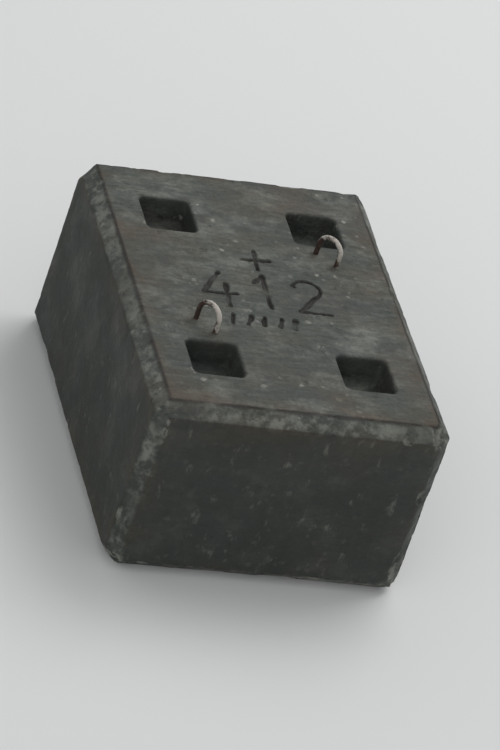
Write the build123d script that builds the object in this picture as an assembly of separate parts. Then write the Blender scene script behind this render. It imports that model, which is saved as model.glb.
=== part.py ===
"""Precast concrete breakwater block with two cast-in lifting loops.

A plain rectangular armour block, cast in one pour, lies flat on the ground with its marked face up.
Every outer edge has a broad 45 degree bevel. The upper face has four square pockets with drafted
walls, and beside two of them, diagonally opposite, stands a loop of bent round bar whose legs are
cast deep into the concrete.

Millimetres. +X is the length, +Y the width and +Z up. The origin is the middle of the underside.
"""

from build123d import *
import math
import os

# Block: the usual proportions of height 1 to width 1.5 to length 2
block_length = 3000.0
block_width = 2250.0
block_height = 1500.0
edge_bevel = 100.0

# Pockets in the upper face
pocket_side = 390.0
pocket_depth = 220.0
pocket_draft_angle = 5.0
pocket_corner_radius = 50.0
pocket_floor_bevel = 30.0
pocket_rim_bevel = 15.0
pocket_end_distance = 640.0
pocket_side_distance = 550.0

# Lifting loops of plain round bar, bent cold
bar_diameter = 40.0
loop_inside_width = 150.0
loop_height = 214.0
loop_to_pocket = 175.0
leg_depth = 900.0

# Each loop was set by hand: which end and side it stands at, and how far its plane turns from +X
loop_settings = {
    "lifting_loop_1": {"end": -1, "side": 1, "turn": 42.0},
    "lifting_loop_2": {"end": 1, "side": -1, "turn": 36.0},
}

pocket_x = block_length / 2 - pocket_end_distance
pocket_y = block_width / 2 - pocket_side_distance
loop_x = pocket_x - pocket_side / 2 - loop_to_pocket


def bevelled_block():
    """Rectangular block standing on z = 0 with all twelve edges bevelled."""
    base = (Align.CENTER, Align.CENTER, Align.MIN)
    block = Box(block_length, block_width, block_height, align=base)
    return chamfer(block.edges(), length=edge_bevel)


def former_half_section(wall_distance):
    """Half section of the pocket's former in the XZ plane, below its mouth on z = 0.

    It has a bevelled rim, a drafted wall and a bevelled floor. The wall's line meets the mouth at
    that distance from the Z axis.
    """
    draft = math.tan(math.radians(pocket_draft_angle))
    rim_depth = pocket_rim_bevel / (1 - draft)
    wall_depth = pocket_depth - pocket_floor_bevel
    wall_foot = wall_distance - wall_depth * draft
    points = [
        (0, 0),
        (wall_distance + pocket_rim_bevel, 0),
        (wall_distance - rim_depth * draft, -rim_depth),
        (wall_foot, -wall_depth),
        (wall_foot - pocket_floor_bevel, -pocket_depth),
        (0, -pocket_depth),
    ]
    return Plane.XZ * Polygon(*points, align=None)


def pocket_former():
    """The former that leaves one pocket: its mouth lies on z = 0 and it narrows downwards.

    The half section is drawn straight between the corners on all four sides, and turned into a
    post at each corner.
    """
    corner = pocket_side / 2 - pocket_corner_radius
    side = extrude(former_half_section(pocket_side / 2), amount=corner, both=True)
    post = Pos(corner, corner, 0) * revolve(former_half_section(pocket_corner_radius), Axis.Z)
    former = side + post
    for turn in (90, 180, 270):
        former += Rot(0, 0, turn) * (side + post)
    return former


def cut_pockets(block):
    """Cut the four pockets into the upper face."""
    former = pocket_former()
    for x in (-pocket_x, pocket_x):
        for y in (-pocket_y, pocket_y):
            block -= Pos(x, y, block_height) * former
    return block


def loop_path():
    """Middle line of one loop's bar in the XZ plane, where z = 0 is the face that it stands on.

    The bar goes up one straight leg, over a half circle and down the other leg.
    """
    arch_radius = (loop_inside_width + bar_diameter) / 2
    arch_start = loop_height - bar_diameter / 2 - arch_radius
    leg = Line((-arch_radius, 0, -leg_depth), (-arch_radius, 0, arch_start))
    arch = TangentArc((-arch_radius, 0, arch_start), (arch_radius, 0, arch_start), tangent=(0, 0, 1))
    other_leg = Line((arch_radius, 0, arch_start), (arch_radius, 0, -leg_depth))
    return Wire([leg, arch, other_leg])


def lifting_loop():
    """One loop of round bar, swept along its path."""
    path = loop_path()
    section = Plane(origin=path @ 0, z_dir=path % 0) * Circle(bar_diameter / 2)
    return sweep(section, path=path)


def placed_loops():
    """Both loops where they stand on the upper face, by node name."""
    loop = lifting_loop()
    loops = {}
    for name, setting in loop_settings.items():
        place = Pos(setting["end"] * loop_x, setting["side"] * pocket_y, block_height)
        loops[name] = place * Rot(0, 0, setting["turn"]) * loop
    return loops


loops = placed_loops()
concrete_block = cut_pockets(bevelled_block())
for loop in loops.values():
    concrete_block -= loop

os.makedirs("parts", exist_ok=True)
export_step(concrete_block, "parts/concrete_block.step")
for name, loop in loops.items():
    export_step(loop, f"parts/{name}.step")

print("bar cut for one loop, mm:", round(loop_path().length))
print("concrete volume, m3:", round(concrete_block.volume / 1e9, 3))
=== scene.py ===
"""Weathered concrete breakwater block with two rusted lifting loops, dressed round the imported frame.

One metre is one unit. The block lies flat, +X is its length, +Y its width and +Z up.
"""

import math

import bmesh
import bpy
import numpy as np
from bpy.props import FloatProperty, FloatVectorProperty, IntProperty, PointerProperty
from mathutils import Matrix, Vector


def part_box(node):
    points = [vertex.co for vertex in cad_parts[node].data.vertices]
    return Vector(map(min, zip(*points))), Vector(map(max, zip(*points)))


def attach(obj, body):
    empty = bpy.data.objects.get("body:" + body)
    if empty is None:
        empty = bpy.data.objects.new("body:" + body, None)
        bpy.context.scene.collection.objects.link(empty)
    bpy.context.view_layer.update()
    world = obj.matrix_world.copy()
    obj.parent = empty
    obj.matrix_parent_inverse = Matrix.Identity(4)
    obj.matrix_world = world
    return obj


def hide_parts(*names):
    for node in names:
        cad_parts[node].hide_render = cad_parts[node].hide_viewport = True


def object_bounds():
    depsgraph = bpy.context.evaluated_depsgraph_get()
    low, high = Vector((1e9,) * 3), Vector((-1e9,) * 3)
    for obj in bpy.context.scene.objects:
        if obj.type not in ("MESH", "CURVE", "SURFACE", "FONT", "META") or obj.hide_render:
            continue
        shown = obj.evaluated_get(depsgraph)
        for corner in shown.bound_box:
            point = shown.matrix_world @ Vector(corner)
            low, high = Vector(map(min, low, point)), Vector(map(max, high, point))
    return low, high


bl_info = {
    "name": "Breakwater Block",
    "version": (1, 0, 0),
    "blender": (4, 5, 0),
    "location": "View3D > Sidebar > Breakwater",
    "description": "Casts a weathered concrete breakwater block with its lifting loops and stage",
    "category": "Add Mesh",
}

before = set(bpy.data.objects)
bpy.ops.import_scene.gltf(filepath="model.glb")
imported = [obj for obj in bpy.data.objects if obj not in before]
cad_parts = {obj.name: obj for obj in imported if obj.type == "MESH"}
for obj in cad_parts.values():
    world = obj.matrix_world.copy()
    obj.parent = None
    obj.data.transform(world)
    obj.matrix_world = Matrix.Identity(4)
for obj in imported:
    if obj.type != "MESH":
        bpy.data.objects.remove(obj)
CAD_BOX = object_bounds()
BLOCK_LOW, BLOCK_HIGH = (np.array(corner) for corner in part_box("concrete_block"))
BLOCK_HALF = (BLOCK_HIGH - BLOCK_LOW) / 2
BLOCK_MIDDLE = (BLOCK_HIGH + BLOCK_LOW) / 2
UPPER_FACE = BLOCK_HIGH[2]
LOOP_NODES = ("lifting_loop_1", "lifting_loop_2")


def srgb(code):
    """Linear red, green and blue of an sRGB hex colour such as "5f625c"."""
    part = np.array([int(code[i:i + 2], 16) for i in (0, 2, 4)]) / 255
    linear = np.where(part <= 0.04045, part / 12.92, ((part + 0.055) / 1.055) ** 2.4)
    return tuple(float(value) for value in linear)


def colour(name, description, code):
    """A colour that the user can change, given as an sRGB hex value."""
    settings = {"name": name, "description": description, "default": srgb(code)}
    return FloatVectorProperty(subtype="COLOR", min=0, max=1, **settings)


def length(name, description, metres):
    """A size that the user can change, in metres."""
    return FloatProperty(name=name, description=description, unit="LENGTH", precision=4, default=metres)


class CastingSettings(bpy.types.PropertyGroup):
    """Sizes and colours of the cast concrete."""

    mesh_step: length("Mesh step", "Spacing of the casting's mesh where nothing is scratched", 0.025)
    bevel: length("Edge bevel", "How far each edge is cut back along both faces", 0.1)
    pocket_side: length("Pocket side", "Width of a pocket at the top of its walls", 0.39)
    pocket_depth: length("Pocket depth", "Depth of a pocket's floor", 0.22)
    pocket_draft: FloatProperty(
        name="Pocket draft", description="Slope of the pocket walls", unit="ROTATION", default=math.radians(5)
    )
    pocket_corner: length("Pocket corner", "Radius of the pocket's corners", 0.05)
    pocket_rim: length("Pocket rim", "Bevel round the pocket's mouth", 0.015)
    pocket_floor_bevel: length("Pocket floor bevel", "Bevel round the pocket's floor", 0.03)
    pocket_end_distance: length("Pocket to end", "Middle of a pocket from the block's end", 0.64)
    pocket_side_distance: length("Pocket to side", "Middle of a pocket from the block's side", 0.55)
    mark_height: length("Mark height", "Height of the large scratched digits", 0.4)
    mark_width: length("Mark width", "Width of a scratched groove", 0.042)
    mark_depth: length("Mark depth", "Depth of a scratched groove", 0.02)
    chip_depth: length("Chip depth", "Depth of the deepest chips in the edges", 0.026)
    chip_count: IntProperty(name="Chips", description="Chips scattered along the edges", default=48)
    damp_concrete: colour("Damp concrete", "Darkest, wettest concrete", "333834")
    bare_concrete: colour("Bare concrete", "Usual tone of the worn surface", "535650")
    warm_concrete: colour("Warm concrete", "Brownish patches on the upper face", "62594d")
    dry_concrete: colour("Dry concrete", "Pale, drier patches", "84857c")
    lime: colour("Lime", "Pale specks of stone and lime", "a9a69c")
    rust_stain: colour("Rust stain", "Brown stain beside the edges and round the loops", "504234")
    # Real dirt along the upper creases; in the scratched grooves it is partly dirt and partly painted shade.
    crease_dirt_and_groove_shade: colour("Crease dirt", "Nearly black brown along the creases", "211d19")
    # Also painted shade: this green-black coat darkens the sides and the pockets more than the film alone
    # would.
    algae_and_painted_shade: colour("Algae", "Green-black film on the sides and in the hollows", "252a25")


class LoopSettings(bpy.types.PropertyGroup):
    """Sizes and colours of the lifting loops."""

    bar_diameter: length("Bar diameter", "Thickness of the round bar", 0.04)
    scale_height: length("Rust scale", "Height of the flakes on the bar", 0.0012)
    rust_dark: colour("Dark rust", "Old rust low on the legs", "2b211b")
    rust_bright: colour("Bright rust", "Browner rust on the flakes", "4a3529")
    # Partly a painted highlight: the skin shows most on the outer side and the second leg, where the light
    # falls, and the inner side is left dark as painted shade.
    pale_bar_skin_and_highlight: colour("Rubbed bar", "Pale skin on top, rubbed by slings and bleached by salt", "c2bbb1")


class StageSettings(bpy.types.PropertyGroup):
    """Floor, lamps and camera."""

    floor_colour: colour("Floor", "Pale studio floor", "dcdcda")
    camera_distance: length("Camera distance", "Camera to the middle of the block", 40.0)
    lens: FloatProperty(name="Lens", description="Focal length", unit="CAMERA", default=262.0)


def lattice_random(cells, seed):
    """Repeatable number from -1 to 1 for each cell, by multiplying, adding and mixing its three numbers."""
    mixed = (cells * np.array([374761393, 668265263, 2246822519])).sum(axis=-1) + seed * 3266489917
    mixed &= 0xFFFFFFFF
    mixed = ((mixed ^ (mixed >> 13)) * 1274126177) & 0xFFFFFFFF
    return (mixed ^ (mixed >> 16)) / 2.0**31 - 1


def noise(points, size, seed, octaves=1):
    """Smooth random value from about -1 to 1 at each point.

    Each octave takes random numbers at the corners of a cubic lattice and blends them along each
    axis with the fade 6t^5 - 15t^4 + 10t^3. The next octave has half the size and half the height.
    """
    total = np.zeros(len(points))
    for octave in range(octaves):
        place = points / (size / 2**octave)
        low = np.floor(place).astype(np.int64)
        part = place - low
        fade = part**3 * (part * (part * 6 - 15) + 10)
        for corner in np.ndindex(2, 2, 2):
            weight = np.prod(np.where(corner, fade, 1 - fade), axis=1)
            total += weight * lattice_random(low + corner, seed + octave) / 2**octave
    return total


def ramp(values, low, high):
    """0 below low, 1 above high and the smooth step 3t^2 - 2t^3 between."""
    part = np.clip((values - low) / (high - low), 0, 1)
    return part**2 * (3 - 2 * part)


def bell(values, middle, width):
    """The bell curve exp(-t^2): 1 at the middle, about a third at the width and soon nothing past it."""
    return np.exp(-(((values - middle) / width) ** 2))


def divided(breaks, step):
    """Numbers from the first break to the last, with each stretch cut evenly into parts of about one step."""
    pairs = zip(breaks, breaks[1:])
    stretches = [np.linspace(a, b, max(1, round((b - a) / step)), endpoint=False) for a, b in pairs]
    return np.concatenate([*stretches, breaks[-1:]])


def grid_quads(rows, columns):
    """Quads of a grid of vertices numbered row by row. They face along rows x columns."""
    row, column = np.meshgrid(np.arange(rows - 1), np.arange(columns - 1), indexing="ij")
    corner = (row * columns + column).ravel()
    return np.column_stack([corner, corner + columns, corner + columns + 1, corner + 1])


def tube_quads(rows, columns):
    """Quads of a grid whose columns close into rings."""
    quads = grid_quads(rows, columns + 1)
    return quads // (columns + 1) * columns + quads % (columns + 1) % columns


def block_patch(axis, side, lines, bevel):
    """One face of the block out to the middle of the bevels round it, as points and quads.

    Over two coordinates p and q the face stands at its half size, less whichever of |p| and |q|
    runs further past the flat part, which makes 45 degree bevels that meet in mitres.
    """
    first, second = (axis + 1) % 3, (axis + 2) % 3
    p, q = np.meshgrid(lines[first], lines[second], indexing="ij")
    past_flat = np.maximum(np.abs(p) - BLOCK_HALF[first], np.abs(q) - BLOCK_HALF[second]) + bevel
    points = np.empty(p.shape + (3,))
    points[..., first] = p
    points[..., second] = q
    points[..., axis] = side * (BLOCK_HALF[axis] - np.maximum(past_flat, 0))
    quads = grid_quads(*p.shape)
    return points.reshape(-1, 3), quads if side > 0 else quads[:, ::-1]


def square_ring(xs, ys):
    """The border of a grid as one ring of points, running anticlockwise from its lowest corner."""
    sides = [
        (xs[:-1], np.full(len(xs) - 1, ys[0])),
        (np.full(len(ys) - 1, xs[-1]), ys[:-1]),
        (xs[:0:-1], np.full(len(xs) - 1, ys[-1])),
        (np.full(len(ys) - 1, xs[0]), ys[:0:-1]),
    ]
    return np.concatenate([np.column_stack(side) for side in sides])


def pocket_patch(ring, settings):
    """A pocket carried round its square ring, as points, quads and the fan that closes its floor.

    The profile runs from the mesh round the hole over the rim, down the walls and over the floor.
    Each of its bends has a half side, a corner radius and a depth, and a number of rings from there
    to the next. The ring is scaled to the half side, and what reaches past the corner's centre is
    drawn in to the corner's radius.
    """
    s = settings
    half, corner = s.pocket_side / 2, s.pocket_corner
    wall_depth = s.pocket_depth - s.pocket_floor_bevel
    inset = wall_depth * math.tan(s.pocket_draft)
    floor_inset = inset + s.pocket_floor_bevel
    hole_half = np.abs(ring).max()
    fan_half = 0.01
    bends = np.array([
        (hole_half, 0, 0),
        (half + s.pocket_rim, corner + s.pocket_rim, 0),
        (half, corner, s.pocket_rim),
        (half - inset, corner - inset, wall_depth),
        (half - floor_inset, corner - floor_inset, s.pocket_depth),
        (fan_half, 0, s.pocket_depth),
    ])
    rings_to_next = (2, 2, 9, 2, 6)
    place = [np.linspace(i, i + 1, count, endpoint=False) for i, count in enumerate(rings_to_next)]
    place = np.concatenate(place)
    numbers = np.arange(len(bends))
    side, corner, depth = (np.interp(place, numbers, column)[:, None, None] for column in bends.T)

    scaled = ring / hole_half * side
    past = np.maximum(np.abs(scaled) - (side - corner), 0)
    reach = np.linalg.norm(past, axis=-1, keepdims=True)
    in_corner = (past > 0).all(axis=-1, keepdims=True)
    drawn = np.where(in_corner, past * corner / np.maximum(reach, 1e-9), past)
    flat = np.sign(scaled) * (np.minimum(np.abs(scaled), side - corner) + drawn)
    z = np.broadcast_to(-depth, flat.shape[:2] + (1,))
    points = np.concatenate([flat, z], axis=-1)

    rows, columns = points.shape[:2]
    last = (rows - 1) * columns + np.arange(columns)
    fan = np.column_stack([last, np.roll(last, -1), np.full(columns, rows * columns)])
    points = np.concatenate([points.reshape(-1, 3), [[0, 0, -s.pocket_depth]]])
    return points, tube_quads(rows, columns)[:, ::-1], fan


def joined(patches):
    """Patches of (points, faces, ...) as one set of points and one list of faces, welded at shared points."""
    points, faces, count = [], [], 0
    for patch_points, *patch_faces in patches:
        points.append(patch_points)
        faces += [some + count for some in patch_faces]
        count += len(patch_points)
    points = np.concatenate(points)
    _, first, index = np.unique(np.round(points, 5), axis=0, return_index=True, return_inverse=True)
    index = index.ravel()
    return points[first], [face for some in faces for face in index[some].tolist()]


def new_mesh_object(name, points, faces):
    """A smooth-shaded mesh object whose place is in its mesh."""
    mesh = bpy.data.meshes.new(name)
    mesh.from_pydata(np.asarray(points).tolist(), [], faces)
    mesh.polygons.foreach_set("use_smooth", np.ones(len(mesh.polygons), dtype=bool))
    made = bpy.data.objects.new(name, mesh)
    bpy.context.scene.collection.objects.link(made)
    return made


def mesh_array(mesh, items, what):
    """One three-part value of each of a mesh's items, as an array."""
    values = np.empty(len(getattr(mesh, items)) * 3)
    getattr(mesh, items).foreach_get(what, values)
    return values.reshape(-1, 3)


def arc(centre, radius, start, end, steps=10):
    """Points on an arc in the plane, between two angles in degrees."""
    angle = np.radians(np.linspace(start, end, steps))
    return np.column_stack([centre[0] + radius * np.cos(angle), centre[1] + radius * np.sin(angle)])


def scratched_strokes(height):
    """Strokes of the marks in the plane of the upper face, as lines of points.

    A plain cross stands over three plain digits, and a row of tally strokes under them. Each is
    drawn in units of a digit's height, with v up and u to the right.
    """
    four = [np.array([(0.38, 1.0), (-0.02, 0.34), (0.62, 0.38)]), np.array([(0.46, 0.66), (0.4, -0.02)])]
    one = [np.array([(0.08, 0.74), (0.3, 1.0), (0.27, 0.0)])]
    two = [np.concatenate([arc((0.28, 0.72), 0.26, 165, -35), [(0.0, 0.02), (0.6, 0.0)]])]
    cross = [np.array([(0.0, 0.3), (0.56, 0.34)]), np.array([(0.3, 0.58), (0.26, 0.04)])]
    placed = [(four, -1.22, -0.52), (one, -0.28, -0.48), (two, 0.55, -0.5), (cross, -0.28, 0.66)]
    strokes = [stroke + (u, v) for sign, u, v in placed for stroke in sign]
    tallies, spacing, further_lean = 5, 0.3, 0.04
    for tally in range(tallies):
        lean = further_lean * (tally % 2)
        strokes.append(np.array([(-0.86 + spacing * tally, -1.02), (-0.8 + spacing * tally + lean, -0.76)]))
    return [stroke * height for stroke in strokes]


def distance_to_strokes(points, strokes):
    """Distance from each point to the nearest stroke.

    The point's shadow on each straight piece is held between the ends, and the nearest one counts.
    """
    start = np.concatenate([stroke[:-1] for stroke in strokes])
    piece = np.concatenate([stroke[1:] - stroke[:-1] for stroke in strokes])
    offset = points[:, None] - start
    along = np.clip((offset * piece).sum(-1) / (piece**2).sum(-1), 0, 1)
    return np.linalg.norm(offset - along[..., None] * piece, axis=-1).min(axis=1)


def mark_distance(points, settings):
    """Distance of points on the upper face from the nearest scratched stroke, which a hand made wobble."""
    wobble_reach = 0.009
    wobble = np.column_stack([noise(points, size=0.11, seed=seed) for seed in (21, 22)]) * wobble_reach
    plane = np.column_stack([points[:, 1], -points[:, 0]]) + wobble
    return distance_to_strokes(plane, scratched_strokes(settings.mark_height))


def loop_places():
    """Middle of each loop seen from above, and the way from there to the middle of its second leg."""
    bar = bpy.context.scene.lifting_loops.bar_diameter
    places = []
    for node in LOOP_NODES:
        low, high = (np.array(corner)[:2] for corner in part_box(node))
        places.append(((low + high) / 2, (high - low) / 2 - bar / 2))
    return places


def foot_distance(points):
    """Distance of points, seen from above, from the nearest leg of a loop."""
    feet = np.array([middle + way * reach for middle, reach in loop_places() for way in (-1, 1)])
    return np.linalg.norm(points[:, None, :2] - feet, axis=-1).min(axis=1)


def edge_places(points, bevel):
    """Distance of points on the bevelled block from the nearest crease, and how far they lie inside a bevel.

    For each pair of faces, a and b are the depths under them. The bevel runs from (0, bevel) to
    (bevel, 0), so its creases are at those two places and both depths are under bevel between them.
    """
    under = BLOCK_HALF - np.abs(points - BLOCK_MIDDLE)
    creases, insides = [], []
    for first, second in ((0, 1), (0, 2), (1, 2)):
        a, b = under[:, first], under[:, second]
        creases += [np.hypot(a, b - bevel), np.hypot(a - bevel, b)]
        insides.append(bevel - np.maximum(a, b))
    return np.minimum.reduce(creases), np.maximum.reduce(insides)


def chips(settings):
    """Ellipsoids that scoop chips out of the creases, as their middles, radii and stretches.

    Each sits outside a random place on a random crease, a little way off its ends, leans out between
    the faces that meet there, reaches a small depth into the concrete and is drawn out along the
    crease.
    """
    dice = np.random.default_rng(41)
    count = settings.chip_count
    rows = np.arange(count)
    along = dice.integers(0, 3, count)
    way = dice.choice([-1.0, 1.0], (count, 3))
    radius = dice.uniform(0.03, 0.12, count)
    depth = settings.chip_depth * dice.uniform(0.2, 1.0, count) ** 2
    stretch = np.ones((count, 3))
    stretch[rows, along] = dice.uniform(1.2, 3.5, count)
    lean = dice.uniform(0.3, 1.0, (count, 3))
    lean[rows, along] = 0.0
    outward = way * lean / np.linalg.norm(lean, axis=1, keepdims=True)
    inset = np.zeros((count, 3))
    inset[rows, (along + dice.integers(1, 3, count)) % 3] = settings.bevel
    middle = way * (BLOCK_HALF - inset)
    middle[rows, along] = dice.uniform(-0.94, 0.94, count) * (BLOCK_HALF[along] - settings.bevel)
    middle += outward * (radius - depth)[:, None]
    return list(zip(middle + BLOCK_MIDDLE, radius, stretch))


def broken_corners(bevel):
    """Fracture planes that cut the weakest corners, as their outward directions and distances.

    Each corner has its way out from the block's middle, the lean of its plane and how far below
    the corner's point the plane cuts.
    """
    planes = []
    for way, lean, cut in (
        ((1, 1, 1), (1.0, 0.75, 1.2), 0.06),
        ((-1, -1, 1), (0.9, 1.2, 0.7), 0.045),
        ((1, -1, -1), (1.0, 1.1, 0.8), 0.05),
        ((1, -1, 1), (0.7, 1.0, 0.9), 0.02),
        ((-1, 1, -1), (1.2, 0.8, 0.9), 0.05),
    ):
        outward = np.array(way) * lean / np.linalg.norm(lean)
        planes.append((outward, (BLOCK_HALF - bevel / 2) @ (outward * way) - cut))
    return planes


def casting_mesh(settings):
    """The block as cast, before any wear: six patches and four pockets, welded into one closed mesh.

    The mesh lines of each axis run through the edges of the pockets' holes, lie close together at
    the creases and end in the middle of the bevels.
    """
    s = settings
    pocket = BLOCK_HALF[:2] - (s.pocket_end_distance, s.pocket_side_distance)
    hole_half = s.pocket_side / 2 + 2 * s.pocket_rim
    crease_lines = np.array([-0.02, -0.007, 0.0, 0.007, 0.02])
    edge, crease = BLOCK_HALF - s.bevel / 2, BLOCK_HALF - s.bevel
    lines = []
    for axis in range(3):
        inner = [pocket[axis] - hole_half, pocket[axis] + hole_half] if axis < 2 else []
        right = np.array([*inner, *(crease[axis] + crease_lines), edge[axis]])
        lines.append(divided(np.concatenate([-right[::-1], right]), s.mesh_step))

    patches = [block_patch(axis, side, lines, s.bevel) for axis in range(3) for side in (-1, 1)]
    upper_points, upper_quads = patches[-1]
    middles = np.abs(upper_points[upper_quads].mean(axis=1)[:, :2])
    in_hole = (np.abs(middles - pocket) < hole_half).all(axis=1)
    patches[-1] = (upper_points, upper_quads[~in_hole])

    for way in ((-1, -1), (-1, 1), (1, -1), (1, 1)):
        middle = pocket * way
        xs, ys = (line[np.abs(line - m) < hole_half + 1e-6] - m for line, m in zip(lines, middle))
        points, *faces = pocket_patch(square_ring(xs, ys), s)
        patches.append((points + (*middle, BLOCK_HALF[2]), *faces))
    points, faces = joined(patches)
    return points + BLOCK_MIDDLE, faces


def on_upper_face(points):
    """Which of the points lie on the flat of the upper face, before it is weathered."""
    return np.abs(points[:, 2] - UPPER_FACE) < 1e-4


def divide(mesh, chosen, cuts):
    """Divides the chosen faces of a mesh into a finer grid, with their edges cut that many times."""
    work = bmesh.new()
    work.from_mesh(mesh)
    work.faces.ensure_lookup_table()
    edges = {edge for index in np.flatnonzero(chosen) for edge in work.faces[index].edges}
    edges = sorted(edges, key=lambda edge: edge.index)
    bmesh.ops.subdivide_edges(work, edges=edges, cuts=cuts, use_grid_fill=True)
    work.to_mesh(mesh)
    work.free()


def refine(mesh, settings):
    """Makes the mesh finer where a chip, a mark or a loop's foot needs it, and a little way round."""
    round_chip, round_mark, round_foot = 0.012, 0.05, 0.07
    middles = mesh_array(mesh, "polygons", "center")
    chipped = np.zeros(len(middles), dtype=bool)
    for middle, radius, stretch in chips(settings):
        chipped |= np.linalg.norm((middles - middle) / stretch, axis=1) < radius + round_chip
    divide(mesh, chipped, cuts=2)

    middles = mesh_array(mesh, "polygons", "center")
    chosen = on_upper_face(middles)
    upper = middles[chosen]
    chosen[chosen] = (mark_distance(upper, settings) < round_mark) | (foot_distance(upper) < round_foot)
    divide(mesh, chosen, cuts=4)


def store(mesh, name, values):
    """Keeps one number for each vertex in the mesh, for the material to read."""
    mesh.attributes.new(name, "FLOAT", "POINT").data.foreach_set("value", values.astype(np.float32))


def worn_skin(points, level, crease):
    """How far each point of the skin lies out from the plain casting, by smooth noise and wear.

    It is a sum of long swells, lumps and, on the level upper face, float marks drawn out along y,
    less what has gone from the creases, which are worn round and nicked here and there.
    """
    rounded = 0.003 + 0.0015 * noise(points, size=0.09, seed=3, octaves=2)
    nicked = 0.02 * np.maximum(noise(points, size=0.05, seed=4, octaves=2) - 0.45, 0)
    worn = (1 - ramp(crease, 0.0, 0.02)) * (rounded + nicked)
    swell = 0.003 * noise(points, size=1.1, seed=5)
    lumps = 0.0016 * noise(points, size=0.14, seed=6, octaves=3)
    drawn_out = (1, 0.22, 1)
    float_marks = 0.0022 * level * noise(points * drawn_out, size=0.07, seed=7, octaves=2)
    return swell + lumps + float_marks - worn


def scratches(points, settings):
    """How far the marks lift or sink points of the upper face, and the dark paint in the grooves.

    A groove has a flat floor and sloping walls, with a lip pushed up beside it. Its depth follows
    the pressure of the hand, its width varies by itself, and its dark paint, partly dirt and partly
    painted shade, fades where it is shallow.
    """
    s = settings
    away = mark_distance(points, s)
    pressure = 1 + 0.55 * noise(points, size=0.12, seed=11)
    half_width = s.mark_width / 2 * (1 + 0.38 * noise(points, size=0.05, seed=12, octaves=2))
    groove = 1 - ramp(away, 0.55 * half_width, half_width)
    lip_height, lip_width = 0.0045, 0.008
    uneven = 0.6 + 0.6 * noise(points, size=0.05, seed=13)
    lip = bell(away, 1.35 * half_width, lip_width) * uneven
    return lip_height * lip - s.mark_depth * pressure * groove, groove * ramp(pressure, 0.4, 1.0)


def paste_ring(from_leg):
    """Height of the low ring of cement paste round a leg, by the distance from the leg's middle."""
    height, radius, width = 0.005, 0.026, 0.012
    return height * bell(from_leg, radius, width)


def break_away(points, settings):
    """Moves points out of the chips and back onto the fracture planes, in place.

    Points in a chip's ellipsoid go to its skin along the line from its middle, and points past a
    plane drop onto it. Fine noise roughens both. It returns where the skin is broken, from 0 to 1.
    """
    broken = np.zeros(len(points))
    roughness = noise(points, size=0.035, seed=15, octaves=3)
    chip_roughness, fracture_roughness, fade = 0.004, 0.006, 0.004
    for middle, radius, stretch in chips(settings):
        offset = (points - middle) / stretch
        reach = np.linalg.norm(offset, axis=1)
        depth = radius + chip_roughness * roughness - reach
        hit = depth > 0
        points[hit] += offset[hit] / reach[hit, None] * depth[hit, None] * stretch
        broken = np.maximum(broken, ramp(depth, 0.0, fade))
    for outward, distance in broken_corners(settings.bevel):
        past = (points - BLOCK_MIDDLE) @ outward - distance - fracture_roughness * roughness
        points -= outward * np.maximum(past, 0)[:, None]
        broken = np.maximum(broken, ramp(past, 0.0, fade))
    return broken


def weather(mesh, settings):
    """Moves each vertex along its normal by the wear on it, and stores what the material needs.

    The move is a sum of the worn skin, the scratched marks and the ring of paste at each leg. What
    has broken away is then cut back, and nothing is left below the floor.
    """
    points = mesh_array(mesh, "vertices", "co")
    normals = mesh_array(mesh, "vertex_normals", "vector")
    level = on_upper_face(points)
    crease, inside_bevel = edge_places(points, settings.bevel)
    from_leg = foot_distance(points)

    move = worn_skin(points, level, crease)
    groove = np.zeros(len(points))
    scratched, groove[level] = scratches(points[level], settings)
    move[level] += scratched
    move[level] += paste_ring(from_leg[level])
    points += normals * move[:, None]
    broken = break_away(points, settings)
    points[:, 2] = np.maximum(points[:, 2], 0)
    mesh.vertices.foreach_set("co", points.ravel())
    mesh.update()

    # Where each finish or painted shade lies, from 0 to 1, by distances in metres. The pale strip
    # keeps off the flat of the upper face. A pocket is what lies below that face, well in from the
    # sides and high up.
    below = UPPER_FACE - points[:, 2]
    upper = ramp(normals[:, 2], 0.3, 0.95)
    ragged = inside_bevel + 0.02 * noise(points, size=0.09, seed=17, octaves=3)
    pale_strip = ramp(ragged, -0.02, 0.03)
    pale_strip *= (0.65 + 0.35 * noise(points, size=0.5, seed=18)) * (normals[:, 2] < 0.95)
    in_pocket = ramp(BLOCK_HALF[:2] - np.abs(points[:, :2]), 0.15, 0.2).prod(axis=1)
    in_pocket *= ramp(below, 0.01, 0.2) * ramp(points[:, 2], 1.0, 1.2)
    stained = (1 - ramp(inside_bevel, 0.0, 0.006)) * (0.4 + 0.6 * upper)
    finish_and_shade_masks = {
        "upper": upper,
        # The sides: green film and painted shade, darker than the upper face as if less lit from above.
        "side": 1 - np.maximum.reduce([upper, 0.4 * pale_strip, 0.8 * in_pocket]),
        "pale_strip": pale_strip,
        "broken": broken,
        "crease_line": (1 - ramp(crease, 0.006, 0.02)) * (1 - 0.75 * ramp(below, 0.03, 0.06)),
        "beside_crease": np.exp(-crease / 0.05) * stained,
        "edge_band": np.exp(-crease / 0.25) * stained,
        "round_leg": np.exp(-from_leg / 0.07) * (1 - ramp(below, 0.05, 0.1)),
        # Dark paint in the grooves: partly dirt, partly painted shade.
        "groove": groove,
        # Deeper into a pocket is darker: painted shade in the recess, with a little green film.
        "in_pocket": in_pocket,
    }
    for name, values in finish_and_shade_masks.items():
        store(mesh, name, values)


def add(tree, kind, inputs, **settings):
    """Adds a shader node. Inputs are values, or the sockets that feed it, by the input's name or number."""
    made = tree.nodes.new(kind)
    for name, value in settings.items():
        setattr(made, name, value)
    for name, value in inputs.items():
        if isinstance(value, bpy.types.NodeSocket):
            tree.links.new(value, made.inputs[name])
        else:
            made.inputs[name].default_value = value
    return made


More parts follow.
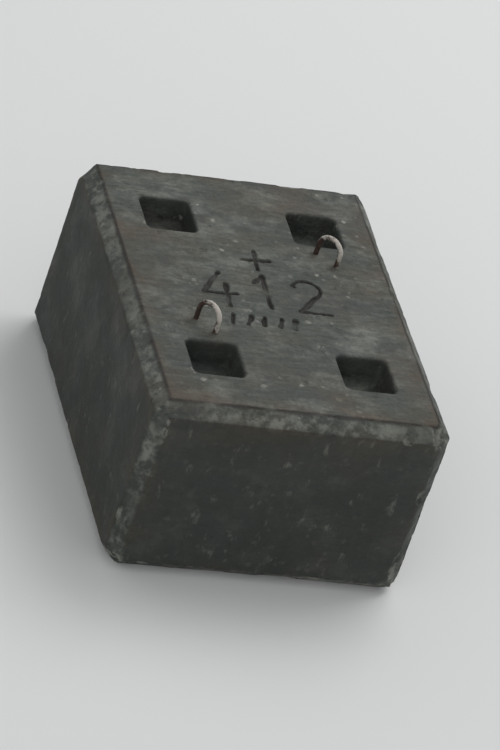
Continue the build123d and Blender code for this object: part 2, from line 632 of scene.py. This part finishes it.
def new_material(name):
    """An empty node material with its output, tree and Object coordinates."""
    material = bpy.data.materials.new(name)
    material.use_nodes = True
    tree = material.node_tree
    tree.nodes.clear()
    place = add(tree, "ShaderNodeTexCoord", {}).outputs["Object"]
    output = add(tree, "ShaderNodeOutputMaterial", {})
    return material, tree, place, output


def mottling(tree, place):
    """Soft patterns that mottle the concrete, by name, as masks from 0 to 1 made of noise."""
    # Size of a patch in metres, how it is drawn out in x, y and z, and what becomes 0 and 1.
    # Sand is drawn far coarser than its grains, which would be too fine to show.
    patterns = {
        "broad_patches": (0.7, (1, 1.5, 1), 0.38, 0.56),
        "warm_patches": (0.4, (1, 2, 1), 0.46, 0.66),
        "pale_patches": (0.24, (1, 1.6, 1), 0.49, 0.68),
        "damp_lines": (0.045, (1, 6, 1), 0.46, 0.7),
        "pale_lines": (0.065, (1, 5, 1), 0.5, 0.7),
        "dashes": (0.03, (1, 3, 1), 0.52, 0.66),
        "sand": (0.028, (1, 1, 1), 0.32, 0.68),
        "lumps": (0.05, (1, 1, 1), 0.35, 0.65),
        "stones": (0.1, (1, 1, 1), 0.45, 0.6),
        "stains": (0.35, (1, 1, 1), 0.43, 0.6),
        "dirt_breaks": (0.3, (1, 1, 1), 0.3, 0.5),
        "smears": (0.08, (1, 1, 2), 0.6, 0.72),
        "runs": (0.12, (1, 1, 6), 0.4, 0.64),
        "clusters": (0.5, (1, 1, 1), 0.46, 0.64),
    }
    masks = {}
    for name, (size, drawn_out, low, high) in patterns.items():
        scale = {"Vector": place, "Scale": [1 / size / factor for factor in drawn_out]}
        drawn = add(tree, "ShaderNodeMapping", scale).outputs[0]
        texture = {"Vector": drawn, "Scale": 1.0, "Detail": 5.0, "Roughness": 0.65}
        texture = add(tree, "ShaderNodeTexNoise", texture).outputs["Fac"]
        spread = {"Value": texture, "From Min": low, "From Max": high}
        masks[name] = add(tree, "ShaderNodeMapRange", spread).outputs["Result"]
    return masks


def specks_and_air_holes(tree, place):
    """Ragged spots scattered one to a cell, by name, as masks from 0 to 1.

    Noise pulls the cells out of round. A spot reaches as far from its cell's middle as the cube of
    the cell's random number allows, so that most are small.
    """
    masks = {}
    # Spacing in metres, the largest radius as a share of it, and a shift that keeps the two apart
    for name, spacing, largest, shift in (("specks", 0.06, 0.4, 3.1), ("air_holes", 0.075, 0.34, 7.7)):
        ragged = {"Vector": place, "Scale": 2.5 / spacing, "Detail": 2.0}
        ragged = add(tree, "ShaderNodeTexNoise", ragged).outputs["Color"]
        moved = {0: ragged, 1: [spacing * 0.6] * 3, 2: place}
        moved = add(tree, "ShaderNodeVectorMath", moved, operation="MULTIPLY_ADD").outputs[0]
        moved = {"Vector": moved, "Location": [shift, shift * 0.7, shift * 1.3]}
        moved = add(tree, "ShaderNodeMapping", moved).outputs[0]
        cells = add(tree, "ShaderNodeTexVoronoi", {"Vector": moved, "Scale": 1 / spacing})
        chance = add(tree, "ShaderNodeSeparateColor", {0: cells.outputs["Color"]}).outputs[0]
        chance = add(tree, "ShaderNodeMath", {0: chance, 1: 3.0}, operation="POWER").outputs[0]
        radius = add(tree, "ShaderNodeMath", {0: chance, 1: largest}, operation="MULTIPLY").outputs[0]
        depth = {0: radius, 1: cells.outputs["Distance"]}
        depth = add(tree, "ShaderNodeMath", depth, operation="SUBTRACT").outputs[0]
        spread = {"Value": depth, "From Min": 0.0, "From Max": 0.06}
        masks[name] = add(tree, "ShaderNodeMapRange", spread).outputs["Result"]
    return masks


def cast_concrete(settings):
    """Sea-worn cast concrete, floated by hand on top and smooth from steel moulds on its sides.

    It is matt and mottled by damp, with float lines across the upper face, sand and stone showing
    as specks, small air holes, brown iron stains beside the edges, pale stones on the bevels and a
    dark film of algae, with a few pale smears, on the sides and in the pockets. The sides, the
    pockets and the grooves are also darkened as painted shade.
    """
    s = settings
    material, tree, place, output = new_material("sea_worn_cast_concrete")
    stored = ("upper", "side", "pale_strip", "broken", "crease_line", "beside_crease", "edge_band")
    stored += ("round_leg", "groove", "in_pocket")
    mask = {name: add(tree, "ShaderNodeAttribute", {}, attribute_name=name).outputs["Fac"] for name in stored}
    mask.update(mottling(tree, place))
    mask.update(specks_and_air_holes(tree, place))

    # Coats of colour, each over the last: its colour, its strength and the masks that place it
    surface = (*s.damp_concrete, 1.0)
    for tint, strength, *where in (
        (s.bare_concrete, 1.0, "broad_patches"),
        (s.warm_concrete, 0.6, "warm_patches"),
        (s.dry_concrete, 0.75, "pale_patches"),
        (s.damp_concrete, 0.42, "damp_lines", "upper"),
        (s.dry_concrete, 0.32, "pale_lines", "upper"),
        (s.algae_and_painted_shade, 0.45, "dashes"),
        (s.damp_concrete, 0.45, "sand"),
        (s.lime, 0.6, "specks", "clusters"),
        (s.algae_and_painted_shade, 0.7, "air_holes", "clusters"),
        # The sides are painted darker than the upper face: runs of green film, and painted shade.
        (s.algae_and_painted_shade, 0.8, "side"),
        (s.algae_and_painted_shade, 0.4, "side", "runs"),
        (s.dry_concrete, 0.35, "side", "smears"),
        (s.dry_concrete, 0.75, "pale_strip", "stones"),
        (s.rust_stain, 0.55, "edge_band", "warm_patches"),
        (s.rust_stain, 0.85, "beside_crease", "stains"),
        (s.crease_dirt_and_groove_shade, 0.85, "crease_line", "dirt_breaks"),
        (s.dry_concrete, 0.6, "broken", "stones"),
        (s.rust_stain, 1.0, "round_leg", "lumps"),
        # Grooves painted dark: partly dirt, partly painted shade.
        (s.crease_dirt_and_groove_shade, 0.85, "groove"),
        (s.crease_dirt_and_groove_shade, 0.9, "groove", "lumps"),
        # Painted shade in the pockets, with a little green film.
        (s.algae_and_painted_shade, 0.15, "in_pocket"),
    ):
        amount = strength
        for name in where:
            amount = add(tree, "ShaderNodeMath", {0: amount, 1: mask[name]}, operation="MULTIPLY").outputs[0]
        coat = {0: amount, 6: surface, 7: (*tint, 1.0)}
        surface = add(tree, "ShaderNodeMix", coat, data_type="RGBA").outputs[2]

    # Relief: how far each pattern stands out or sinks in, in parts of the bump's 4 mm
    relief = 0.0
    heights = {"lumps": 1.6, "sand": 1.0, "damp_lines": 0.5, "dashes": -0.7, "air_holes": -1.0}
    for name, height in heights.items():
        summed = {0: mask[name], 1: height, 2: relief}
        relief = add(tree, "ShaderNodeMath", summed, operation="MULTIPLY_ADD").outputs[0]
    bump = {"Height": relief, "Strength": 0.7, "Distance": 0.004}
    bump = add(tree, "ShaderNodeBump", bump).outputs["Normal"]
    rough = {"Value": mask["broad_patches"], "To Min": 0.62, "To Max": 0.88}
    rough = add(tree, "ShaderNodeMapRange", rough).outputs["Result"]
    shader = {"Base Color": surface, "Roughness": rough, "Normal": bump}
    shader = add(tree, "ShaderNodeBsdfPrincipled", shader).outputs[0]
    tree.links.new(shader, output.inputs["Surface"])
    return material


def rusted_bar(settings):
    """Hot-rolled round bar, rusted outdoors: rough brown scale, and a pale skin, partly worn by slings and
    partly a painted highlight.

    Where the skin ends follows the sum of the bar's height, its worn and lit side and soft noise. The lit
    outer side and second leg are paler as a painted highlight; the inner side stays dark as painted shade.
    """
    s = settings
    material, tree, place, output = new_material("rusted_hot_rolled_bar")
    flake_size, patch_size = 0.02, 0.05
    loop_top = float(CAD_BOX[1][2])
    flakes = {"Vector": place, "Scale": 1 / flake_size, "Detail": 8.0, "Roughness": 0.7}
    flakes = add(tree, "ShaderNodeTexNoise", flakes).outputs["Fac"]
    patches = {"Vector": place, "Scale": 1 / patch_size, "Detail": 6.0, "Roughness": 0.7}
    rubbed_and_highlit = add(tree, "ShaderNodeTexNoise", patches).outputs["Fac"]
    height = add(tree, "ShaderNodeSeparateXYZ", {0: place}).outputs["Z"]
    risen = {"Value": height, "From Min": UPPER_FACE + 0.03, "From Max": loop_top - 0.05}
    risen = add(tree, "ShaderNodeMapRange", risen).outputs["Result"]
    # Sling wear and a painted highlight: more on the outer side and the second leg, less on the inner side.
    rubbing = add(tree, "ShaderNodeAttribute", {}, attribute_name="rubbing").outputs["Fac"]
    for part, share in ((risen, 0.2), (rubbing, 0.1)):
        summed = {0: part, 1: share, 2: rubbed_and_highlit}
        rubbed_and_highlit = add(tree, "ShaderNodeMath", summed, operation="MULTIPLY_ADD").outputs[0]
    rubbed_and_highlit = {"Value": rubbed_and_highlit, "From Min": 0.62, "From Max": 0.8, "To Max": 0.9}
    rubbed_and_highlit = add(tree, "ShaderNodeMapRange", rubbed_and_highlit).outputs["Result"]
    fresh = {"Value": flakes, "From Min": 0.42, "From Max": 0.62}
    fresh = add(tree, "ShaderNodeMapRange", fresh).outputs["Result"]
    skin = (*s.rust_dark, 1.0)
    for amount, tint in ((fresh, s.rust_bright), (rubbed_and_highlit, s.pale_bar_skin_and_highlight)):
        skin = add(tree, "ShaderNodeMix", {0: amount, 6: skin, 7: (*tint, 1.0)}, data_type="RGBA").outputs[2]
    bump = {"Height": flakes, "Strength": 0.8, "Distance": 0.002}
    bump = add(tree, "ShaderNodeBump", bump).outputs["Normal"]
    shader = {"Base Color": skin, "Roughness": 0.75, "Metallic": 0.15, "Normal": bump}
    shader = add(tree, "ShaderNodeBsdfPrincipled", shader).outputs[0]
    tree.links.new(shader, output.inputs["Surface"])
    return material


def bar_mesh(middle, reach, low, top, settings):
    """A round bar up one leg, over a half circle and down the other leg: points, faces and where the pale
    skin goes.

    Along the path the middle of the bar is (-R, z) on the first leg, R times (-cos a, sin a) above
    the legs' tops on the arch, and (R, z) on the last leg. Each ring is a circle across the path,
    pushed in by smooth noise for the rust scale, and the rings lie far apart down in the concrete,
    where they are hidden. The value for the pale skin runs from -1 at the first leg to 1 at the second,
    plus 1 where a ring looks away from the loop's middle or less 1 where it looks in. It stands partly
    for sling wear and partly for a painted highlight on the lit side, with painted shade on the inner side.
    """
    radius = settings.bar_diameter / 2
    arch = float(np.hypot(*reach))
    arch_z = top - radius - arch
    hidden_rings, arch_rings, columns, ring_step = 12, 76, 32, 0.004
    fine_from = UPPER_FACE - 0.05
    hidden = np.linspace(low, fine_from, hidden_rings)[:-1]
    up = np.concatenate([hidden, divided([fine_from, arch_z], ring_step)])
    turn = np.linspace(0, math.pi, arch_rings)[1:-1]
    across = np.concatenate([np.full(len(up), -arch), -arch * np.cos(turn), np.full(len(up), arch)])
    z = np.concatenate([up, arch_z + arch * np.sin(turn), up[::-1]])
    heading = np.concatenate([np.zeros(len(up)), turn, np.full(len(up), math.pi)])

    angle = np.linspace(0, 2 * math.pi, columns, endpoint=False)
    sideways = reach / arch
    square = np.array([-sideways[1], sideways[0]])
    outward = -np.cos(heading)[:, None] * np.cos(angle)
    upward = np.sin(heading)[:, None] * np.cos(angle)
    flat = np.sin(angle) * np.ones((len(heading), 1))

    def ringed(size):
        """Points of the rings, as far from the path as the size, which may differ from point to point."""
        plane = (across[:, None] + outward * size)[..., None] * sideways + (flat * size)[..., None] * square
        height = (z[:, None] + upward * size)[..., None]
        return np.concatenate([plane + middle, height], axis=-1).reshape(-1, 3)

    rows = len(heading)
    scale = (noise(ringed(radius), size=0.016, seed=31, octaves=3) - 1) * settings.scale_height
    points = ringed(radius + scale.reshape(rows, columns))
    first = np.arange(columns)
    ends = [first.tolist(), ((rows - 1) * columns + first)[::-1].tolist()]
    # Sling wear and a painted highlight: higher on the second leg and on the side away from the loop's
    # middle, lower on the inner side, which stays dark as painted shade.
    rubbing = (across / arch)[:, None] + np.cos(angle)
    return points, tube_quads(rows, columns).tolist() + ends, rubbing.ravel()


class BREAKWATER_OT_cast_block(bpy.types.Operator):
    """Cast the block: one closed mesh with pockets, scratched marks and worn edges"""

    bl_idname = "breakwater.cast_block"
    bl_label = "Cast the block"

    def execute(self, context):
        settings = context.scene.casting
        casting = new_mesh_object("sea_worn_block", *casting_mesh(settings))
        refine(casting.data, settings)
        weather(casting.data, settings)
        casting.data.materials.append(cast_concrete(settings))
        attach(casting, "root")
        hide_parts("concrete_block")
        return {"FINISHED"}


class BREAKWATER_OT_bend_loops(bpy.types.Operator):
    """Bend the two lifting loops and set their legs into the block"""

    bl_idname = "breakwater.bend_loops"
    bl_label = "Bend the lifting loops"

    def execute(self, context):
        settings = context.scene.lifting_loops
        finish = rusted_bar(settings)
        for node, (middle, reach) in zip(LOOP_NODES, loop_places()):
            low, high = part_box(node)
            points, faces, rubbing = bar_mesh(middle, reach, low[2], high[2], settings)
            bar = new_mesh_object("rusted_" + node, points, faces)
            # Sling wear and painted highlight, for the material's pale skin.
            store(bar.data, "rubbing", rubbing)
            bar.data.materials.append(finish)
            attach(bar, "root")
            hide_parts(node)
        return {"FINISHED"}


class BREAKWATER_OT_set_stage(bpy.types.Operator):
    """Set the pale floor, the soft lamps and the camera"""

    bl_idname = "breakwater.set_stage"
    bl_label = "Set the stage"

    def execute(self, context):
        settings = context.scene.stage
        scene = context.scene
        scene.view_settings.view_transform = "Standard"

        # Matt floor paint, which is pale and even and gives no reflection
        reach = 60.0
        corners = [(-reach, -reach, 0), (reach, -reach, 0), (reach, reach, 0), (-reach, reach, 0)]
        floor = new_mesh_object("studio_floor", corners, [(0, 1, 2, 3)])
        material, tree, _, output = new_material("matt_floor_paint")
        paint = {"Base Color": (*settings.floor_colour, 1.0), "Roughness": 0.9}
        tree.links.new(add(tree, "ShaderNodeBsdfPrincipled", paint).outputs[0], output.inputs["Surface"])
        floor.data.materials.append(material)

        world = bpy.data.worlds.new("overcast_studio")
        world.use_nodes = True
        background = world.node_tree.nodes["Background"]
        background.inputs["Color"].default_value = (0.94, 0.97, 1.0, 1.0)
        background.inputs["Strength"].default_value = 0.55
        scene.world = world

        # Square lamps, each with its way from the target, its side and the level of its light there
        target = Vector((0.0, 0.1, 0.75))
        lamp_distance = 30.0
        for name, way, side, level in (
            ("key_lamp", (-0.35, 0.45, 0.9), 19.0, 1.5),
            ("fill_lamp", (0.9, -0.7, 0.5), 20.0, 0.5),
        ):
            lamp = bpy.data.lights.new(name, "AREA")
            lamp.size = side
            lamp.energy = level * math.pi * lamp_distance**2
            holder = bpy.data.objects.new(name, lamp)
            scene.collection.objects.link(holder)
            way = Vector(way).normalized()
            holder.location = target + way * lamp_distance
            holder.rotation_euler = way.to_track_quat("Z", "Y").to_euler()

        # The camera is turned by the photo's right and down, as they run across its block
        right = Vector((0.206, 0.937, 0.283)).normalized()
        down = Vector((0.6166, 0.0999, -0.781))
        back = right.cross(-down).normalized()
        up = back.cross(right)
        camera = bpy.data.objects.new("camera", bpy.data.cameras.new("camera"))
        scene.collection.objects.link(camera)
        camera.data.sensor_fit = "VERTICAL"
        camera.data.sensor_height = 36.0
        camera.data.lens = settings.lens
        camera.data.clip_end = 200.0
        turn = Matrix((right, up, back)).transposed().to_4x4()
        camera.matrix_world = Matrix.Translation(target + back * settings.camera_distance) @ turn
        scene.camera = camera
        return {"FINISHED"}


class BREAKWATER_PT_block(bpy.types.Panel):
    """Sizes, colours and operators of the breakwater block"""

    bl_idname = "BREAKWATER_PT_block"
    bl_label = "Breakwater Block"
    bl_space_type = "VIEW_3D"
    bl_region_type = "UI"
    bl_category = "Breakwater"

    def draw(self, context):
        for name, operator in OPERATORS.items():
            box = self.layout.box()
            settings = getattr(context.scene, name)
            for size in settings.__annotations__:
                box.prop(settings, size)
            box.operator(operator.bl_idname)


OPERATORS = {
    "casting": BREAKWATER_OT_cast_block,
    "lifting_loops": BREAKWATER_OT_bend_loops,
    "stage": BREAKWATER_OT_set_stage,
}
SETTINGS = {"casting": CastingSettings, "lifting_loops": LoopSettings, "stage": StageSettings}


def register():
    for kind in (*SETTINGS.values(), *OPERATORS.values(), BREAKWATER_PT_block):
        bpy.utils.register_class(kind)
    for name, kind in SETTINGS.items():
        setattr(bpy.types.Scene, name, PointerProperty(type=kind))


def unregister():
    for name in SETTINGS:
        delattr(bpy.types.Scene, name)
    for kind in (BREAKWATER_PT_block, *OPERATORS.values(), *SETTINGS.values()):
        bpy.utils.unregister_class(kind)


def main():
    register()
    bpy.ops.breakwater.cast_block()
    bpy.ops.breakwater.bend_loops()
    bpy.ops.breakwater.set_stage()


if __name__ == "__main__":
    main()
